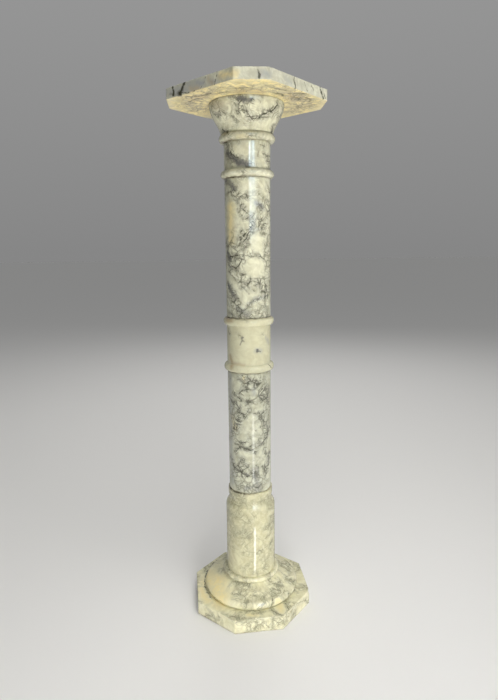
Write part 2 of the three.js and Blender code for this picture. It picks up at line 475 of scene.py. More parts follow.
MARKS = {
    "top_slab": [
        # partly a cool grey patch of the stone, partly painted shade on the slab's left side
        haze("cool", 16, 0.75, (-82, 12), (-62, 8)),
        haze("dark", 7, 0.6, (-79, 8), (-72, 3)),
        haze("dark", 9, 1.0, (-64, 18), (-67, 8), (-70, 3)),
        haze("rust", 9, 0.45, (-57, 6), (-48, 2)),
        haze("rust", 8, 0.45, (-37, 14), (-33, 4)),
        crack(5, 1.0, (-76, 19), (-75, 11), (-76, 3)),
        crack(6, 1.0, (-63, 19), (-67, 10), (-69, 5), (-68, 1)),
        crack(2.6, 0.9, (-69, 4), (-60, 1), (-52, 1)),
        haze("cool", 12, 0.9, (-59, 15), (-50, 12), (-43, 10)),
        crack(2.2, 0.8, (-40, 16), (-42, 8), (-45, 1)),
        crack(2.8, 0.8, (-28, 19), (-29, 10), (-31, 1)),
        haze("cool", 7, 0.6, (-34, 8), (-30, 5)),
        haze("warm", 10, 0.8, (-25, 12), (-14, 9)),
        haze("cool", 10, 0.8, (2, 10), (7, 8)),
        crack(4, 0.9, (0, 17), (1, 9), (1, 3)),
        crack(4, 0.9, (32, 18), (33, 10), (34, 2)),
        haze("cool", 7, 0.5, (22, 12), (28, 8)),
        crack(3.5, 0.7, (46, 15), (50, 4)),
        crack(3.5, 0.6, (55, 17), (58, 8)),
        crack(5, 1.0, (66, 18), (68, 9), (70, 1)),
        crack(4, 0.9, (71, 9), (72, 4)),
        # a warm tint of the stone on the underside, with painted warm bounce light from below over it
        haze("warm", 90, 1.6, (-120, 0, 95), (-45, 0, 100), (0, 0, 105), (45, 0, 100), (120, 0, 95)),
        haze("pale", 5, 0.8, (-20, 0, 133), (-16, 0, 118), (-10, 0, 125), (-5, 0, 110)),
        crack(6, 0.6, (-68, 0, 122), (-66, 0, 110), (-60, 0, 101), (-47, 0, 98)),
        crack(6, 0.5, (-84, 0, 108), (-72, 0, 100), (-66, 0, 96)),
        crack(6, 0.45, (-30, 0, 118), (-20, 0, 104), (-8, 0, 108), (4, 0, 98)),
        crack(6, 0.45, (-42, 0, 92), (-26, 0, 88)),
        crack(6, 0.45, (8, 0, 120), (16, 0, 112), (25, 0, 110), (30, 0, 112)),
        crack(7, 0.65, (29, 0, 88), (35, 0, 92), (41, 0, 86)),
        crack(6, 0.65, (39, 0, 102), (44, 0, 110), (49, 0, 124)),
        crack(7, 0.65, (52, 0, 97), (58, 0, 104), (65, 0, 100)),
        crack(6, 0.6, (60, 0, 114), (66, 0, 122), (74, 0, 118)),
        haze("dense", 60, 0.7, (-110, 0, 100), (-50, 0, 100), (0, 0, 105), (50, 0, 100), (110, 0, 100)),
        haze("rust", 30, 0.5, (-12, 0, 85), (12, 0, 85)),
        haze("rust", 26, 0.4, (38, 0, 92), (62, 0, 96)),
        haze("rust", 26, 0.35, (-75, 0, 104), (-48, 0, 94)),
        vein(3, 0.8, (-76, 20, 128), (-84, 20, 96), (-110, 20, 70), (-140, 20, 82), (-152, 20, 118)),
        vein(3, 0.7, (-28, 20, 126), (-20, 20, 92), (-40, 20, 52), (-98, 20, 34), (-160, 20, 60)),
        vein(
            3, 0.8,
            (66, 20, 124), (54, 20, 92), (38, 20, 60), (70, 20, 26), (150, 20, 44), (170, 20, 96),
        ),
        vein(2.5, 0.6, (32, 20, 124), (24, 20, 88), (38, 20, 60)),
        vein(2.5, 0.6, (110, 20, 124), (112, 20, 86), (150, 20, 44)),
    ],
    "capital": [
        haze("dense", 10, 0.7, (-18, 62), (0, 58)),
        haze("dark", 9, 1.0, (-18, 63), (-10, 61), (-3, 60)),
        haze("rust", 16, 0.4, (-70, 62), (-50, 56)),
        haze("dark", 5, 0.7, (-34, 67), (-24, 65)),
        vein(3, 0.7, (-13, 60), (-19, 54)),
        vein(3, 0.5, (-24, 44), (-5, 43)),
        vein(2.5, 0.7, (-68, 46), (-51, 40)),
        vein(2, 0.5, (-30, 35), (-25, 32)),
        vein(2, 0.6, (-2, 32), (7, 31), (11, 36)),
        vein(3.5, 1.0, (16, 35), (24, 41), (37, 47), (45, 57)),
        haze("dark", 5, 0.5, (16, 36), (30, 43)),
        haze("dense", 9, 0.5, (20, 30), (41, 40)),
        vein(3, 0.7, (56, 23), (63, 17)),
        vein(4, 0.7, (-70, 20), (-50, 13)),
        haze("warm", 6, 0.5, (-27, 3), (-9, 3)),
    ],
    "neck": [
        vein(3, 0.8, (-69, 58), (-49, 44), (-44, 39), (-28, 32)),
        haze("dense", 9, 0.9, (-33, 25), (-20, 21), (-3, 20)),
        haze("dark", 14, 1.0, (-32, 27), (-20, 24), (-9, 23)),
        haze("dark", 12, 0.85, (-64, 44), (-48, 36), (-36, 28)),
        # partly a grey-brown patch of the stone, partly painted shade on the neck's left side
        haze("dark", 14, 0.45, (-75, 48), (-55, 26)),
        haze("dense", 12, 0.6, (-68, 40), (-42, 25)),
        haze("pale", 12, 0.7, (-34, 48), (-10, 46)),
        vein(2.5, 0.6, (25, 57), (43, 53)),
        vein(2.5, 0.5, (22, 45), (22, 38)),
        vein(2.5, 0.6, (34, 40), (50, 38), (68, 41)),
        vein(2.5, 0.6, (45, 29), (68, 30)),
        vein(4, 0.5, (-20, 9), (-14, 5)),
    ],
    "upper_shaft": [
        haze("dark", 13, 0.9, (-72, 260), (-51, 253), (-39, 244)),
        vein(4, 0.8, (-41, 241), (-39, 239)),
        haze("dense", 12, 0.7, (-52, 242), (-25, 230)),
        haze("pale", 12, 0.6, (-12, 250), (5, 250)),
        vein(3, 0.7, (-11, 234), (-7, 228), (-10, 226)),
        haze("dense", 11, 0.9, (-33, 224), (-23, 214), (-15, 208)),
        haze("dark", 8, 0.5, (-33, 222), (-25, 214), (-20, 207)),
        haze("dense", 8, 0.7, (-33, 205), (-25, 199)),
        vein(2, 0.8, (-17, 206), (-7, 199), (0, 195)),
        vein(2, 0.9, (-24, 198), (-14, 188), (-5, 192)),
        haze("cool", 10, 0.9, (15, 218), (30, 210)),
        haze("dark", 6, 0.6, (18, 215), (28, 211)),
        vein(3, 0.7, (49, 219), (57, 210), (68, 203)),
        vein(3, 0.6, (49, 246), (68, 240)),
        vein(2, 0.7, (17, 189), (33, 190)),
        vein(2, 0.7, (27, 174), (40, 174)),
        haze("cool", 6, 0.6, (14, 170), (23, 170)),
        vein(3, 0.95, (3, 178), (-3, 170), (-10, 163), (-17, 159), (-25, 154), (-28, 150)),
        vein(3, 0.9, (-1, 165), (-8, 158), (-15, 152), (-19, 147)),
        vein(2, 0.8, (-22, 167), (-12, 161)),
        vein(3, 0.7, (-27, 145), (-35, 137)),
        vein(2.5, 0.7, (-11, 141), (-17, 134)),
        haze("pale", 20, 0.8, (15, 148), (20, 138)),
        # a tan strip of the stone on the shaft's left, partly painted warm bounce light on that shaded
        # side
        haze("warm", 17, 0.75, (-54, 212), (-55, 150)),
        haze("dark", 11, 0.8, (-70, 126), (-56, 116)),
        haze("dark", 9, 0.6, (-66, 104), (-52, 96)),
        vein(2.5, 0.9, (-59, 120), (-38, 121), (-17, 120)),
        vein(3, 0.9, (-60, 107), (-48, 100), (-38, 96)),
        vein(2.5, 0.85, (-20, 119), (-24, 113), (-30, 103), (-38, 96)),
        vein(2, 0.8, (-45, 119), (-38, 110), (-30, 104)),
        vein(2, 0.7, (-38, 119), (-32, 113), (-26, 110)),
        vein(1.8, 0.6, (-3, 120), (33, 120)),
        haze("pale", 22, 0.8, (8, 105), (20, 100), (10, 92)),
        haze("dense", 10, 0.6, (-62, 92), (-37, 78)),
        vein(4, 0.5, (-21, 86), (-19, 84)),
        vein(2.5, 0.9, (-31, 76), (-26, 67), (-22, 61)),
        vein(2.5, 0.9, (-22, 70), (-6, 61)),
        vein(2, 0.8, (-6, 71), (9, 72), (15, 70)),
        vein(2, 0.9, (15, 70), (22, 68), (28, 61), (31, 56), (27, 53)),
        vein(2.5, 0.8, (41, 58), (36, 50)),
        haze("dark", 5, 0.7, (-18, 60), (-12, 53), (-8, 48)),
        vein(3, 0.6, (2, 58), (9, 54)),
        haze("cool", 7, 0.6, (45, 42), (23, 40), (7, 36), (-4, 29)),
        vein(2, 0.5, (48, 42), (23, 40), (7, 36), (-4, 29)),
        haze("dense", 14, 0.8, (-68, 66), (-44, 42)),
        haze("dark", 12, 0.8, (-66, 63), (-45, 42)),
        haze("cool", 10, 0.7, (-35, 20), (-12, 9)),
        haze("dense", 12, 1.0, (-36, 18), (-8, 8)),
        haze("dark", 8, 0.5, (-30, 14), (-12, 8)),
        haze("dark", 7, 0.6, (-70, 11), (-42, 5)),
    ],
    "knop": [
        haze("dark", 4, 0.95, (-24, 74), (-28, 70), (-25, 66), (-21, 66)),
        haze("dark", 3.5, 0.85, (-26, 66), (-31, 58)),
        vein(2, 0.6, (-30, 76), (-36, 80)),
        haze("cool", 9, 0.5, (12, 46), (24, 45)),
        haze("dark", 5, 1.0, (14, 47), (13, 43)),
        haze("dark", 3, 0.8, (13, 44), (24, 43)),
        haze("dark", 3, 0.6, (31, 76), (33, 75)),
        vein(3, 0.5, (32, 76), (33, 75)),
        haze("cool", 7, 0.6, (43, 69), (58, 57)),
        vein(4, 0.7, (-73, 82), (-67, 79)),
        haze("rust", 9, 0.6, (-80, 108), (-50, 106)),
        vein(3, 0.6, (-17, 108), (-15, 107)),
        haze("rust", 9, 0.7, (-66, 32), (-58, 20), (-50, 10)),
        haze("rust", 7, 0.35, (-48, 19), (-20, 18)),
        crack(3, 0.8, (46, 15), (54, 8)),
    ],
    "lower_shaft": [
        haze("warm", 6, 0.5, (-21, 248), (-21, 238)),
        vein(1.8, 0.5, (-26, 238), (18, 237)),
        vein(2.2, 0.9, (-34, 215), (-29, 218), (-26, 223), (-17, 225), (-11, 225)),
        vein(2.5, 0.8, (-52, 214), (-44, 209), (-36, 205), (-28, 202)),
        vein(2.5, 0.9, (-54, 197), (-44, 191), (-35, 186), (-33, 177), (-25, 173)),
        vein(2.5, 0.9, (-25, 173), (-24, 168), (-35, 161), (-39, 152), (-47, 140)),
        vein(2.2, 0.9, (-25, 173), (-18, 171), (-13, 177), (-9, 182)),
        vein(2.2, 0.8, (-24, 168), (-19, 165)),
        vein(3, 0.7, (-14, 198), (-12, 198)),
        vein(1.8, 0.5, (-12, 198), (10, 200)),
        haze("cool", 8, 0.6, (2, 223), (5, 215)),
        vein(2.5, 0.6, (21, 211), (46, 208)),
        vein(2.5, 0.6, (21, 204), (51, 201)),
        vein(2.5, 0.6, (27, 222), (57, 215)),
        vein(2, 0.6, (7, 175), (30, 172)),
        vein(2, 0.8, (20, 166), (37, 148), (51, 134), (41, 118), (30, 110), (17, 103), (11, 104)),
        haze("warm", 12, 0.5, (-62, 161), (-50, 140)),
        vein(2.2, 0.8, (-48, 89), (-38, 98), (-28, 103), (-14, 98), (-5, 96), (11, 90)),
        vein(2.2, 0.7, (-47, 110), (-28, 110), (-17, 112), (-10, 118)),
        vein(3, 0.6, (-6, 105), (-4, 105)),
        vein(2.2, 0.7, (-35, 77), (-28, 74), (-35, 67)),
        haze("dense", 10, 0.7, (-70, 72), (-56, 60)),
        vein(3.5, 0.9, (-62, 60), (-53, 54), (-37, 50), (-29, 45), (-14, 38)),
        haze("dark", 7, 0.8, (-21, 43), (-12, 40)),
        vein(2.5, 0.7, (-35, 57), (-16, 60)),
        vein(3, 0.6, (-5, 47), (5, 41)),
        haze("cool", 12, 0.5, (9, 50), (12, 8)),
        haze("dense", 15, 1.0, (4, 52), (14, 10)),
        haze("dark", 9, 0.5, (6, 40), (13, 12)),
        haze("dense", 14, 1.0, (-30, 246), (10, 236)),
        haze("dark", 7, 0.4, (-6, 240), (6, 224)),
        haze("cool", 16, 0.6, (-72, 245), (-66, 180), (-70, 90), (-64, 20)),
        haze("cool", 9, 0.6, (-20, 12), (-2, 14)),
        vein(2.5, 0.7, (53, 76), (53, 54)),
        vein(2, 0.6, (37, 89), (41, 79)),
        vein(2.5, 0.6, (33, 54), (41, 39)),
    ],
    "base_drum": [
        vein(3, 0.9, (-80, 187), (-50, 187), (-24, 187)),
        haze("dense", 12, 0.6, (-85, 182), (-58, 165)),
        vein(1.8, 0.5, (-28, 113), (-16, 110), (-21, 101), (-16, 94)),
        vein(1.8, 0.5, (5, 95), (22, 81), (36, 88)),
        vein(1.8, 0.5, (11, 59), (32, 64)),
        vein(1.8, 0.5, (43, 68), (55, 72)),
        haze("dense", 8, 0.6, (-54, 71), (-51, 56)),
        haze("pale", 12, 0.7, (8, 157), (29, 154)),
    ],
    "base": [
        haze("warm", 36, 0.9, (-95, 46), (-72, 54), (-50, 46)),
        haze("pale", 40, 1.3, (-95, 46), (-72, 54), (-50, 46)),
        haze("warm", 16, 0.7, (-84, 31, 112), (-62, 31, 114)),
        haze("pale", 18, 1.2, (-84, 31, 112), (-62, 31, 114)),
        # painted shadow and dirt in the crevice behind the rim, at its left and back
        crack(4, 1.0, (-136, 31, 114), (-126, 31, 110), (-114, 31, 107), (-106, 31, 105.5)),
        crack(3, 0.9, (-142, 31, 116), (-126, 31, 110), (-104, 31, 105), (-90, 31, 103.5)),
        crack(2.5, 0.8, (-92, 31, 103.5), (-75, 31, 103), (-56, 31, 103)),
        vein(2, 0.7, (-100, 34), (-70, 36), (-55, 38), (-45, 38)),
        haze("pale", 12, 0.8, (-42, 45), (-31, 43)),
        haze("dense", 8, 0.6, (-64, 31, 122), (-60, 31, 122)),
        haze("dense", 8, 0.6, (-57, 28), (-50, 20)),
        haze("dense", 12, 0.6, (-40, 31, 117), (-20, 31, 126)),
        haze("dense", 16, 0.5, (-10, 65), (3, 56), (14, 49)),
        haze("warm", 12, 0.6, (28, 31, 103), (24, 31, 116)),
        haze("pale", 14, 1.1, (28, 31, 103), (24, 31, 116)),
        haze("warm", 10, 0.5, (26, 44), (29, 36)),
        haze("pale", 13, 1.1, (26, 44), (29, 36)),
        haze("warm", 10, 0.5, (-10, 31, 110), (-1, 31, 112)),
        haze("pale", 12, 1.0, (-10, 31, 110), (-1, 31, 112)),
        vein(2.5, 0.8, (21, 51), (15, 36)),
        vein(2.5, 0.8, (16, 31, 104), (18, 31, 109), (20, 31, 122)),
        vein(2.5, 0.8, (37, 31, 104), (35, 31, 112), (31, 31, 124)),
        vein(2, 0.5, (84, 74), (71, 56), (61, 38)),
        vein(2, 0.5, (38, 52), (49, 40)),
        vein(3, 0.5, (3, 22), (10, 6)),
        vein(2, 0.5, (-21, 31, 104), (-9, 31, 107), (2, 31, 106)),
        vein(2.5, 0.5, (42, 30), (60, 18)),
    ],
}

PLAIN_STONES = ("base_drum", "lower_shaft", "upper_shaft", "neck")
HAZES = ("dense", "dark", "cool", "warm", "rust", "pale")
BELT = 0.007             # reach of the dense veining on each side of a vein
WANDER = 0.0025          # how far a mark strays from its path
WANDER_SIZE = 0.008
WANDER_SHIFT = 5.7       # how far the straying of one seed lies from the next
PATH_RADIUS = 0.1        # radius at which a path's turn around the axis is measured
SPOTS_PER_WIDTH = 3      # how closely a path is followed


def behind(stone):
    """The marks of a plain stone's hidden half: those of its front, half a turn on and upside down."""
    if stone.name not in PLAIN_STONES:
        return []
    top = stone.heights[-1] / MM
    return [
        mark._replace(path=[(angle + 180, top - height) for angle, height in mark.path])
        for mark in MARKS[stone.name]
    ]


def along(path, step):
    """Points along a path, no further apart than step."""
    spots = []
    for start, end in zip(path, path[1:]):
        angle_run = math.radians(end[0] - start[0]) * PATH_RADIUS
        run = math.hypot(angle_run, *(np.subtract(end[1:], start[1:]) * MM))
        spots.extend(np.linspace(start, end, max(2, math.ceil(run / step)), endpoint=False))
    return spots + [np.array(path[-1], float)]


def distance_to(points, spots):
    """Distance from each point to the nearest of the spots."""
    nearest = np.full(points.shape[:2], np.inf)
    for spot in spots:
        nearest = np.minimum(nearest, ((points - spot) ** 2).sum(axis=-1))
    return np.sqrt(nearest)


def paint(stone, points, marks, seed):
    """Fields over the skin: how near a vein is and how dark, and how much of each haze there is."""
    noise.seed_set(seed)    # noise_vector would otherwise take its seed from the clock
    flat = points.reshape(-1, 3) / WANDER_SIZE + seed * WANDER_SHIFT
    stray = np.array([noise.noise_vector(Vector(point)) for point in flat]).reshape(points.shape)
    points = points + stray * WANDER
    fields = {kind: np.zeros(points.shape[:2]) for kind in ("vein", "ink", *HAZES)}
    for mark in marks:
        width = mark.width * MM
        step = max(width / SPOTS_PER_WIDTH, MM)
        spots = [stone.place(*spot) for spot in along(mark.path, step)]
        away = distance_to(points, spots)
        near = np.clip(1 - away / width, 0, 1)
        # A mark on a flat bed stays on it
        if len(mark.path[0]) == 3:
            level = mark.path[0][1] * MM
            off_bed = np.abs(stone.heights - level) > MM
            away[off_bed] = np.inf
            near[off_bed] = 0
        if mark.kind in ("vein", "crack"):
            fields["ink"] = np.where(near > fields["vein"], mark.strength, fields["ink"])
            fields["vein"] = np.maximum(fields["vein"], near)
        if mark.kind == "vein":
            belt = np.clip(1 - away / (width + BELT), 0, 1) * mark.strength
            fields["dense"] = np.maximum(fields["dense"], belt)
        if mark.kind in HAZES:
            soft = near * near * (3 - 2 * near)
            fields[mark.kind] = np.maximum(fields[mark.kind], soft * mark.strength)
    return fields


# Node graphs
class Graph:
    """Short names for adding nodes to a material."""

    def __init__(self, tree):
        self.tree = tree

    def add(self, kind, inputs=(), **settings):
        node = self.tree.nodes.new(kind)
        for name, value in settings.items():
            setattr(node, name, value)
        for socket, value in dict(inputs).items():
            self.set(node.inputs[socket], value)
        return node

    def set(self, socket, value):
        if isinstance(value, bpy.types.NodeSocket):
            self.tree.links.new(value, socket)
        else:
            socket.default_value = value

    def noise(self, vector, size, detail=2.0, roughness=0.5):
        settings = {"Vector": vector, "Scale": 1 / size, "Detail": detail, "Roughness": roughness}
        return self.add("ShaderNodeTexNoise", settings).outputs

    def cell_edges(self, vector, size):
        """Distance to the nearest edge between irregular cells of about the given size."""
        settings = {"Vector": vector, "Scale": 1 / size}
        node = self.add("ShaderNodeTexVoronoi", settings, feature="DISTANCE_TO_EDGE")
        return node.outputs["Distance"]

    def spread(self, value, low, high, to_low=0.0, to_high=1.0):
        """A smooth step of a value from one range to another."""
        settings = {0: value, 1: low, 2: high, 3: to_low, 4: to_high}
        return self.add("ShaderNodeMapRange", settings, interpolation_type="SMOOTHSTEP").outputs[0]

    def math(self, operation, first, second=0.5):
        return self.add("ShaderNodeMath", {0: first, 1: second}, operation=operation).outputs[0]

    def vector_math(self, operation, first, second):
        return self.add("ShaderNodeVectorMath", {0: first, 1: second}, operation=operation).outputs[0]

    def mix(self, share, first, second):
        """Two colours mixed. Inputs 6 and 7 and output 2 are the node's colour sockets."""
        inputs = {0: share, 6: first, 7: second}
        return self.add("ShaderNodeMix", inputs, data_type="RGBA").outputs[2]

    def bend(self, vector, size, reach):
        """The vector moved about by smooth noise of the given size."""
        shift = self.vector_math("SUBTRACT", self.noise(vector, size)["Color"], (0.5, 0.5, 0.5))
        return self.vector_math("ADD", vector, self.vector_math("MULTIPLY", shift, (reach,) * 3))

    def attribute(self, name):
        return self.add("ShaderNodeAttribute", attribute_name=name).outputs["Fac"]


def colour(red, green, blue):
    return (red, green, blue, 1.0)


# Colours of the marks
VEIN_DARK = colour(0.055, 0.055, 0.036)
VEIN_GREEN = colour(0.075, 0.075, 0.050)
# colour of the dark hazes: dark patches of the stone, and painted shade on the neck's left
DARK_HAZE_COLOUR = colour(0.105, 0.107, 0.108)
BLUE_GREY = colour(0.33, 0.35, 0.37)
TAN = colour(0.87, 0.74, 0.36)
RUST = colour(0.36, 0.23, 0.11)
CLEAN = colour(0.74, 0.73, 0.56)
# colour of the dirt and of the painted shade in hollows and joints
DIRT_AND_SHADE_COLOUR = colour(0.10, 0.08, 0.045)

# Sizes in the pattern of the alabaster
SEED_SHIFT = (3.1, 1.7, 0)    # how far the pattern of one seed lies from the next
BEND = (0.030, 0.030)         # size and reach of the wide bends
FINE_BEND = (0.012, 0.007)
CLOUD_SIZE = 0.050
MOTTLE_SIZE = 0.011
GRAIN_SIZE = 0.0035
NODULE_SIZE = 0.022
FINE_NODULE_SIZE = 0.008
RIDGE_SIZE = 0.034
BREAK_SIZE = 0.026            # along a line, between its stronger stretches
FINE_BREAK_SIZE = 0.015
SPECK_SIZE = 0.0032
SMEAR_SIZE = 0.035
PIT_SIZE = 0.0012
RIPPLE_SIZE = 0.008
RELIEF_DEPTH = 0.0003
RELIEF_STRENGTH = 0.08

# Optics of alabaster
REFRACTION = 1.53
GLOW_SHARE = 0.12
GLOW_COLOUR = (1.0, 0.85, 0.55)
GLOW_DEPTH = 0.004

Look = namedtuple("Look", "seed cream pale grey density contrast")
Gaps = namedtuple("Gaps", "wide fine ridge")


def pattern_place(graph, seed):
    """Where the pattern is read: in the stone's own part of it, plain and bent."""
    place = graph.add("ShaderNodeTexCoord").outputs["Object"]
    shift = [seed * part for part in SEED_SHIFT]
    place = graph.add("ShaderNodeMapping", {"Vector": place, "Location": shift}).outputs[0]
    return place, graph.bend(graph.bend(place, *BEND), *FINE_BEND)


def veining(graph, bent, density):
    """How densely veined the stone is: in clouds and beside marks, and less where it is pale."""
    clouds = graph.noise(bent, CLOUD_SIZE, 4.0, 0.55)["Fac"]
    cloudy = graph.spread(clouds, 0.62, 0.36, 0.0, density)
    dense = graph.math("ADD", graph.attribute("dense"), cloudy)
    dense = graph.math("MAXIMUM", graph.math("SUBTRACT", dense, graph.attribute("pale")), 0.0)
    return graph.math("MINIMUM", dense, 1.0)


def ground(graph, mottle, patchy, look):
    """Cream and pale stone, with the colours of its hazes."""
    stone = graph.mix(graph.spread(mottle, 0.32, 0.68), look.cream, look.pale)
    stone = graph.mix(graph.math("MULTIPLY", graph.attribute("pale"), 0.35), stone, CLEAN)
    for kind, tint in (("warm", TAN), ("cool", BLUE_GREY), ("rust", RUST)):
        share = graph.math("MULTIPLY", graph.attribute(kind), patchy)
        stone = graph.mix(share, stone, tint)
    return stone


def nodule_gaps(graph, bent, ragged):
    """Distance to where the nodules meet, and to the ridges that cross them."""
    rough_edge = graph.math("MULTIPLY", ragged, 0.10)
    wide = graph.math("ADD", graph.cell_edges(bent, NODULE_SIZE), rough_edge)
    fine = graph.math("ADD", graph.cell_edges(bent, FINE_NODULE_SIZE), rough_edge)
    ridge = graph.math("SUBTRACT", graph.noise(bent, RIDGE_SIZE, 3.0, 0.5)["Fac"], 0.5)
    ridge = graph.math("ADD", graph.math("ABSOLUTE", ridge), graph.math("MULTIPLY", ragged, 0.02))
    return Gaps(wide, fine, ridge)


def smoke(graph, gaps, mottle, dense):
    """Grey beside the lines of the net."""
    off_ridge = graph.spread(gaps.ridge, 0.0, 0.04)
    halo = graph.math("MULTIPLY", graph.spread(gaps.wide, 0.02, 0.25), off_ridge)
    halo = graph.math("MULTIPLY", halo, graph.spread(mottle, 0.40, 0.60))
    return graph.math("MULTIPLY", graph.spread(halo, 0.0, 0.8, 0.75, 0.12), dense)


def vein_net(graph, place, gaps, dense, contrast):
    """Thin dark lines where the nodules meet, which come and go, and specks."""
    comes = graph.spread(graph.noise(place, BREAK_SIZE, 2.0)["Fac"], 0.40, 0.58, 0.30, 1.0)
    goes = graph.spread(graph.noise(place, FINE_BREAK_SIZE, 2.0)["Fac"], 0.42, 0.58, 0.15, 0.9)
    lines = graph.math("MULTIPLY", graph.spread(gaps.wide, 0.015, 0.065, 1.0, 0.0), comes)
    small = graph.math("MULTIPLY", graph.spread(gaps.fine, 0.02, 0.12, 1.0, 0.0), goes)
    lines = graph.math("MAXIMUM", lines, small)
    lines = graph.math("MAXIMUM", lines, graph.spread(gaps.ridge, 0.001, 0.010, 1.0, 0.0))
    specks = graph.spread(graph.noise(place, SPECK_SIZE, 3.0, 0.6)["Fac"], 0.60, 0.67, 0.0, 0.5)
    lines = graph.math("MAXIMUM", lines, specks)
    return graph.math("MULTIPLY", lines, graph.spread(dense, 0.05, 0.80, 0.03, contrast))


def blots(graph, ragged, patchy):
    """Dark hazes with ragged edges."""
    blot = graph.math("ADD", graph.attribute("dark"), graph.math("MULTIPLY", ragged, 1.1))
    return graph.math("MULTIPLY", graph.spread(blot, 0.15, 0.95, 0.0, 0.95), patchy)


def marked_veins(graph, ragged):
    """The veins of MARKS, and the painted shadow behind the base's rim: ragged dark lines that break off
    and start again.
    """
    vein = graph.math("ADD", graph.attribute("vein"), graph.math("MULTIPLY", ragged, 0.9))
    return graph.math("MULTIPLY", graph.spread(vein, 0.40, 0.80), graph.attribute("ink"))


def polish(graph, place, lines):
    """Roughness: smeared, and duller in the lines."""
    smears = graph.noise(place, SMEAR_SIZE, 3.0)["Fac"]
    rough = graph.spread(smears, 0.3, 0.7, 0.05, 0.12)
    return graph.math("ADD", rough, graph.math("MULTIPLY", lines, 0.08))


def relief(graph, place, lines, veins):
    """Slight pits and ripples, and lines and veins that lie a little deeper."""
    pits = graph.noise(place, PIT_SIZE, 2.0)["Fac"]
    ripple = graph.noise(place, RIPPLE_SIZE, 2.0)["Fac"]
    height = graph.math("ADD", graph.math("MULTIPLY", pits, 0.12), ripple)
    height = graph.math("SUBTRACT", height, graph.math("MULTIPLY", lines, 0.4))
    height = graph.math("SUBTRACT", height, graph.math("MULTIPLY", veins, 0.4))
    settings = {"Height": height, "Strength": RELIEF_STRENGTH, "Distance": RELIEF_DEPTH}
    return graph.add("ShaderNodeBump", settings).outputs[0]


def alabaster(name, look):
    """Polished alabaster: pale nodules in a net of grey veins, the stone's marks, painted shade in
    hollows and dirt and painted shade at joints.
    """
    material = bpy.data.materials.new(name + "_alabaster")
    material.use_nodes = True
    graph = Graph(material.node_tree)
    place, bent = pattern_place(graph, look.seed)
    mottle = graph.noise(bent, MOTTLE_SIZE, 5.0, 0.62)["Fac"]
    patchy = graph.spread(mottle, 0.30, 0.62, 0.45, 1.0)
    ragged = graph.math("SUBTRACT", graph.noise(place, GRAIN_SIZE, 4.0, 0.65)["Fac"], 0.5)
    dense = veining(graph, bent, look.density)
    gaps = nodule_gaps(graph, bent, ragged)
    lines = vein_net(graph, place, gaps, dense, look.contrast)
    veins = marked_veins(graph, ragged)

    stone = ground(graph, mottle, patchy, look)
    stone = graph.mix(smoke(graph, gaps, mottle, dense), stone, look.grey)
    stone = graph.mix(lines, stone, VEIN_GREEN)
    stone = graph.mix(blots(graph, ragged, patchy), stone, DARK_HAZE_COLOUR)
    stone = graph.mix(veins, stone, VEIN_DARK)
    # painted shade in the hollows, and dirt and painted shade at the joints
    stone = graph.mix(graph.attribute("dirt_and_shade"), stone, DIRT_AND_SHADE_COLOUR)

    shader = material.node_tree.nodes["Principled BSDF"]
    for socket, value in {
        "Base Color": stone,
        "Roughness": polish(graph, place, lines),
        "Normal": relief(graph, place, lines, veins),
        "IOR": REFRACTION,
        "Subsurface Weight": GLOW_SHARE,
        "Subsurface Radius": GLOW_COLOUR,
        "Subsurface Scale": GLOW_DEPTH,
    }.items():
        graph.set(shader.inputs[socket], value)
    return material


# Stone colours
BASE_CREAM = colour(0.70, 0.67, 0.44)
BASE_PALE = colour(0.82, 0.80, 0.58)
WARM_CREAM = colour(0.55, 0.52, 0.33)
WARM_PALE = colour(0.70, 0.68, 0.46)
COOL_CREAM = colour(0.53, 0.53, 0.39)
COOL_PALE = colour(0.70, 0.71, 0.56)
SLAB_CREAM = colour(0.50, 0.50, 0.40)
SLAB_PALE = colour(0.66, 0.67, 0.55)
IVORY = colour(0.63, 0.61, 0.42)
IVORY_PALE = colour(0.69, 0.68, 0.49)
GREY = colour(0.31, 0.31, 0.26)
OLIVE_GREY = colour(0.46, 0.45, 0.31)

# Each stone's maker or outline, its slot and its look
STONES = {
    "base": (base, "veined_alabaster", Look(1, BASE_CREAM, BASE_PALE, OLIVE_GREY, 1.00, 0.50)),
    "base_drum": (
        drum_outline, "clean_alabaster", Look(2, WARM_CREAM, WARM_PALE, OLIVE_GREY, 0.90, 0.42)
    ),
    "lower_shaft": (shaft_outline, "veined_alabaster", Look(3, COOL_CREAM, COOL_PALE, GREY, 0.52, 0.85)),
    "knop": (knop_outline, "clean_alabaster", Look(4, IVORY, IVORY_PALE, OLIVE_GREY, 0.12, 0.40)),
    "upper_shaft": (shaft_outline, "veined_alabaster", Look(5, COOL_CREAM, COOL_PALE, GREY, 0.60, 0.85)),
    "neck": (neck_outline, "veined_alabaster", Look(6, COOL_CREAM, COOL_PALE, GREY, 0.50, 0.85)),
    "capital": (capital_outline, "grey_alabaster", Look(7, COOL_CREAM, COOL_PALE, GREY, 0.55, 0.90)),
    "top_slab": (top_slab, "grey_alabaster", Look(8, SLAB_CREAM, SLAB_PALE, GREY, 0.18, 0.55)),
}


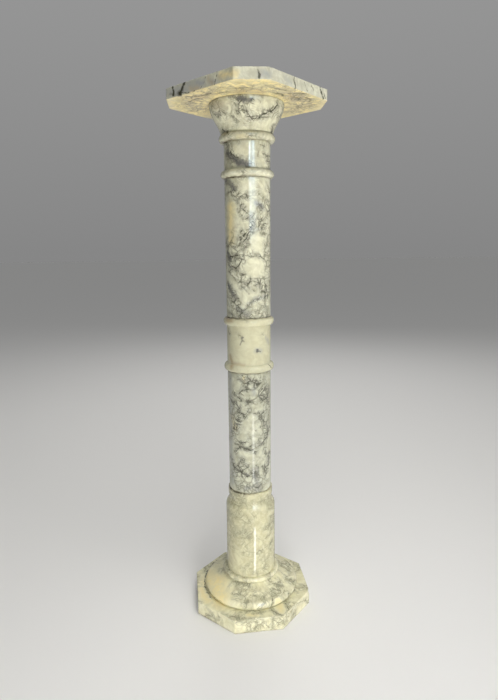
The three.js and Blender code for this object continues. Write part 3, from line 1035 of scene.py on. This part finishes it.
def dirt_and_shade(stone, points, seed):
    """Painted shade that comes and goes in the hollows and, apart from the slab's open faces, dirt and
    painted shade at the joints.
    """
    patches = noise_at(points, DIRT_PATCH_SIZE, seed)
    hollow = np.clip(-sharpness(points) - HOLLOW_START, 0, 1) * np.clip(HOLLOW_SHADE * patches, 0, 1)
    if stone.name == "top_slab":
        return hollow
    dots = noise_at(points, DIRT_DOT_SIZE, seed)
    uneven = np.clip(JOINT_DIRT_AND_SHADE + JOINT_PATCHES * patches + JOINT_DOTS * dots, 0, 1)
    # the painted shade at the joints is stronger on the left side, where shade falls
    thick = uneven * (JOINT_FRONT - JOINT_LEFT_SHADE * np.sin(np.radians(stone.angles)))
    foot_share, top_share = JOINT_SHARES.get(stone.name, (1, 1))
    from_top = stone.heights[-1] - stone.heights
    at_foot = np.clip(1 - stone.heights / JOINT_REACH, 0, 1) * foot_share
    at_top = np.clip(1 - from_top / JOINT_REACH, 0, 1) * top_share
    joint = np.maximum(at_foot, at_top)[:, None] * thick
    return np.clip(np.maximum(hollow, joint), 0, 1)


def add_attribute(mesh, name, values):
    pole_first, pole_last = values[0, :1], values[-1, :1]
    flat = np.concatenate([pole_first, values[1:-1].ravel(), pole_last])
    mesh.attributes.new(name, "FLOAT", "POINT").data.foreach_set("value", flat.astype(np.float32))


def build(name, maker, look):
    stone = maker(name) if maker in (base, top_slab) else turned(name, maker)
    points = worn(stone, stone.points(), look.seed)
    mesh = skin(stone, points)
    for kind, field in paint(stone, points, MARKS[name] + behind(stone), look.seed).items():
        add_attribute(mesh, kind, field)
    # painted shade in the hollows, and dirt and painted shade at the joints, stored on the mesh
    add_attribute(mesh, "dirt_and_shade", dirt_and_shade(stone, points, look.seed))
    mesh.materials.append(alabaster(name, look))
    piece = bpy.data.objects.new(name + "_stone", mesh)
    bpy.context.collection.objects.link(piece)
    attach(piece, "root")
    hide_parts(name)


for name, (maker, slot, look) in STONES.items():
    build(name, maker, look)


# Studio
FLOOR_REACH = 40.0
FLOOR_COLOUR = colour(0.84, 0.84, 0.83)
FLOOR_ROUGHNESS = 0.7
SKY_LEVEL = 0.24         # at the horizon
SKY_OVERHEAD = 0.40
SKY_FRONT = 0.8          # how far the light of the front and back reaches round to the left
SKY_LEFT = 0.02          # share of the light that the left has


def around(turn, distance, height):
    angle = math.radians(turn)
    return Vector((distance * math.sin(angle), -distance * math.cos(angle), height))


def floor_material():
    material = bpy.data.materials.new("floor")
    material.use_nodes = True
    shader = material.node_tree.nodes["Principled BSDF"]
    shader.inputs["Base Color"].default_value = FLOOR_COLOUR
    shader.inputs["Roughness"].default_value = FLOOR_ROUGHNESS
    shader.inputs["Specular IOR Level"].default_value = 0.0
    return material


def add_floor():
    corners = [(x * FLOOR_REACH, y * FLOOR_REACH, 0) for x, y in ((-1, -1), (1, -1), (1, 1), (-1, 1))]
    mesh = bpy.data.meshes.new("floor")
    mesh.from_pydata(corners, [], [(0, 1, 2, 3)])
    mesh.materials.append(floor_material())
    floor = bpy.data.objects.new("floor", mesh)
    bpy.context.collection.objects.link(floor)


def add_light(name, turn, distance, height, size, power, tint, aim, mirrored=False, spread=180):
    """A lamp that is only seen mirrored in the polish, or that only lights the stone.

    It points at the axis at the height of its aim. Its spread is in degrees.
    """
    lamp = bpy.data.lights.new(name, "AREA")
    lamp.shape = "RECTANGLE"
    lamp.size, lamp.size_y = size
    lamp.energy = power
    lamp.color = tint
    lamp.spread = math.radians(spread)
    light = bpy.data.objects.new(name, lamp)
    light.visible_camera = False
    light.visible_glossy = mirrored
    light.visible_diffuse = not mirrored
    light.visible_transmission = not mirrored
    light.location = around(turn, distance, height)
    towards = Vector((0, 0, aim)) - light.location
    light.rotation_euler = towards.to_track_quat("-Z", "Y").to_euler()
    bpy.context.collection.objects.link(light)


def add_mirrored(name, turn, distance, height, size, power, tint):
    """A level lamp that is only seen mirrored."""
    add_light(name, turn, distance, height, size, power, tint, aim=height, mirrored=True)


def add_lamps():
    """Panes and glints for the polish, and soft lamps for the stone."""
    sky_blue = (0.25, 0.58, 1.0)
    bright = (1.0, 1.0, 1.0)
    daylight = (0.95, 0.97, 1.0)
    soft_white = (1.0, 0.98, 0.95)
    warm_white = (1.0, 0.94, 0.84)
    add_mirrored("left_pane", 5, 1.5, 1.19, size=(0.11, 0.26), power=1.8, tint=(0.60, 0.80, 1.0))
    add_mirrored("right_pane", 22, 1.5, 1.19, size=(0.08, 0.26), power=1.3, tint=(0.50, 0.75, 1.0))
    add_mirrored("low_pane", 5, 1.5, 0.93, size=(0.08, 0.24), power=0.7, tint=(0.65, 0.82, 1.0))
    add_mirrored("window", 18, 1.5, 1.06, size=(0.80, 0.50), power=4.0, tint=sky_blue)
    add_mirrored("shaft_glint", 9, 0.183, 0.305, size=(0.028, 0.17), power=0.075, tint=daylight)
    add_mirrored("drum_glint", 9, 0.183, 0.061, size=(0.024, 0.115), power=0.080, tint=bright)
    add_light("front", 4, 1.9, 0.40, size=(1.4, 0.12), power=3.9, tint=soft_white, aim=0.0, spread=60)
    add_light("low", 15, 0.9, 0.10, size=(0.8, 0.2), power=1.18, tint=warm_white, aim=1.03, spread=40)
    add_light("back", 165, 2.2, 2.4, size=(1.6, 1.6), power=20, tint=soft_white, aim=0.5)
    add_light("overhead", 24, 0.9, 2.3, size=(1.2, 1.2), power=22, tint=(1.0, 0.98, 0.94), aim=0.0)


def add_sky():
    """Soft light from all around, brighter overhead and weaker on the left."""
    world = bpy.data.worlds.new("studio")
    world.use_nodes = True
    bpy.context.scene.world = world
    graph = Graph(world.node_tree)
    direction = graph.add("ShaderNodeTexCoord").outputs["Generated"]
    parts = graph.add("ShaderNodeSeparateXYZ", {0: direction}).outputs
    heights = {0: parts[2], 1: 0.0, 2: 1.0, 3: SKY_LEVEL, 4: SKY_OVERHEAD}
    shade = graph.add("ShaderNodeMapRange", heights).outputs[0]
    to_front = graph.math("MULTIPLY", graph.math("POWER", parts[1], 2), SKY_FRONT)
    from_left = graph.math("ADD", parts[0], to_front)
    side = graph.spread(from_left, -0.75, 0.05, SKY_LEFT, 1.0)
    graph.set(world.node_tree.nodes["Background"].inputs["Color"], graph.math("MULTIPLY", shade, side))


def add_camera():
    lens = bpy.data.cameras.new("camera")
    lens.sensor_width = SENSOR_WIDTH
    lens.lens = CAMERA_LENS
    camera = bpy.data.objects.new("camera", lens)
    bpy.context.collection.objects.link(camera)
    turn = Matrix.Rotation(math.radians(CAMERA_TURN), 4, "Z")
    tilt = Matrix.Rotation(math.radians(90 - CAMERA_PITCH), 4, "X")
    roll = Matrix.Rotation(math.radians(CAMERA_ROLL), 4, "Z")
    place = Matrix.Translation(around(CAMERA_TURN, CAMERA_DISTANCE, CAMERA_HEIGHT))
    camera.matrix_world = place @ turn @ tilt @ roll
    bpy.context.scene.camera = camera


add_floor()
add_sky()
add_lamps()
add_camera()
bpy.context.scene.view_settings.view_transform = "Standard"
